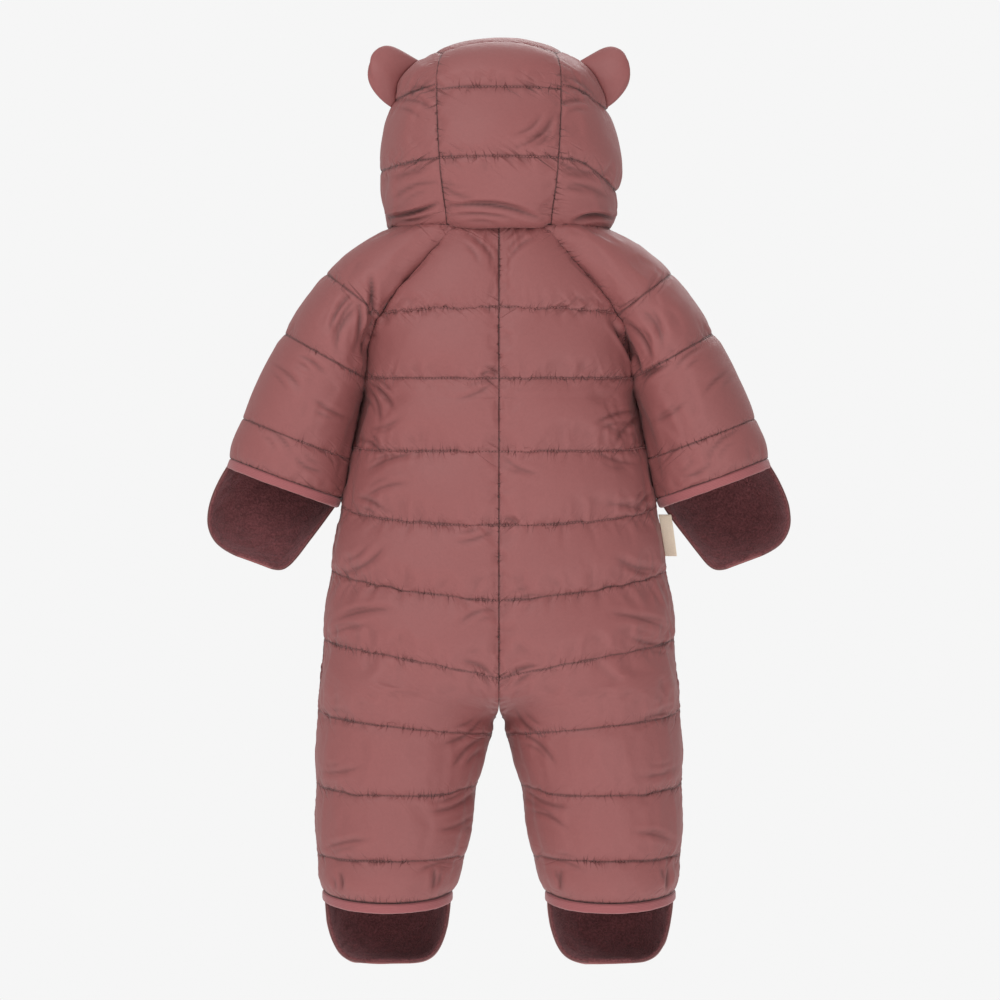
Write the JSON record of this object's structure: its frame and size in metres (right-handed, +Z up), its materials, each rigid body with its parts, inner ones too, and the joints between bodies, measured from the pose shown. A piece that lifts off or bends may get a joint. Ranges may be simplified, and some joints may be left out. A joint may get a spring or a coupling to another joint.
{
  "type": "baby snowsuit",
  "caption": "Padded one-piece baby snowsuit with a hood, round ears, raglan sleeves, and fold-over mitts and feet, filled out and hollow.",
  "frame": {"origin": "middle of the neck opening, in the plane of the neckline", "axes": "+Z up, +Y the wearer's front, +X the wearer's right"},
  "size_m": [0.5052, 0.1908, 0.8021],
  "materials": {
    "shell": "soft satin sheen, fine down-proof weave",
    "ears": "soft satin sheen, no quilting",
    "fleece": "matt brushed nap",
    "binding": "elastic rib",
    "label": "plain woven",
    "zip_tape": "woven tape",
    "zip_teeth": "coil",
    "zip_metal": "satin"
  },
  "bodies": {
    "suit": {"ankle_binding_left": "binding", "ankle_binding_right": "binding", "back_left": "shell", "back_right": "shell", "cuff_binding_left": "binding", "cuff_binding_right": "binding", "ear_left": "ears", "ear_right": "ears", "foot_lining_left": "fleece", "foot_lining_right": "fleece", "foot_shell_left": "shell", "foot_shell_right": "shell", "front_left": "shell", "front_right": "shell", "hood_centre": "shell", "hood_side_left": "shell", "hood_side_right": "shell", "mitt_lining_left": "fleece", "mitt_lining_right": "fleece", "mitt_shell_left": "shell", "mitt_shell_right": "shell", "side_label": "label", "sleeve_left": "shell", "sleeve_right": "shell", "zip_chain": "zip_teeth", "zip_slider": "zip_metal", "zip_tape_left": "zip_tape", "zip_tape_right": "zip_tape"},
    "pull_tab": {"zip_pull": "zip_metal"}
  },
  "joints": [
    {"name": "pull_tab_swing", "type": "hinge", "parent": "suit", "child": "pull_tab", "pos_m": [0, 0.0735, -0.03059], "axis": [1, 0, 0], "range_deg": [0, 110]}
  ]
}
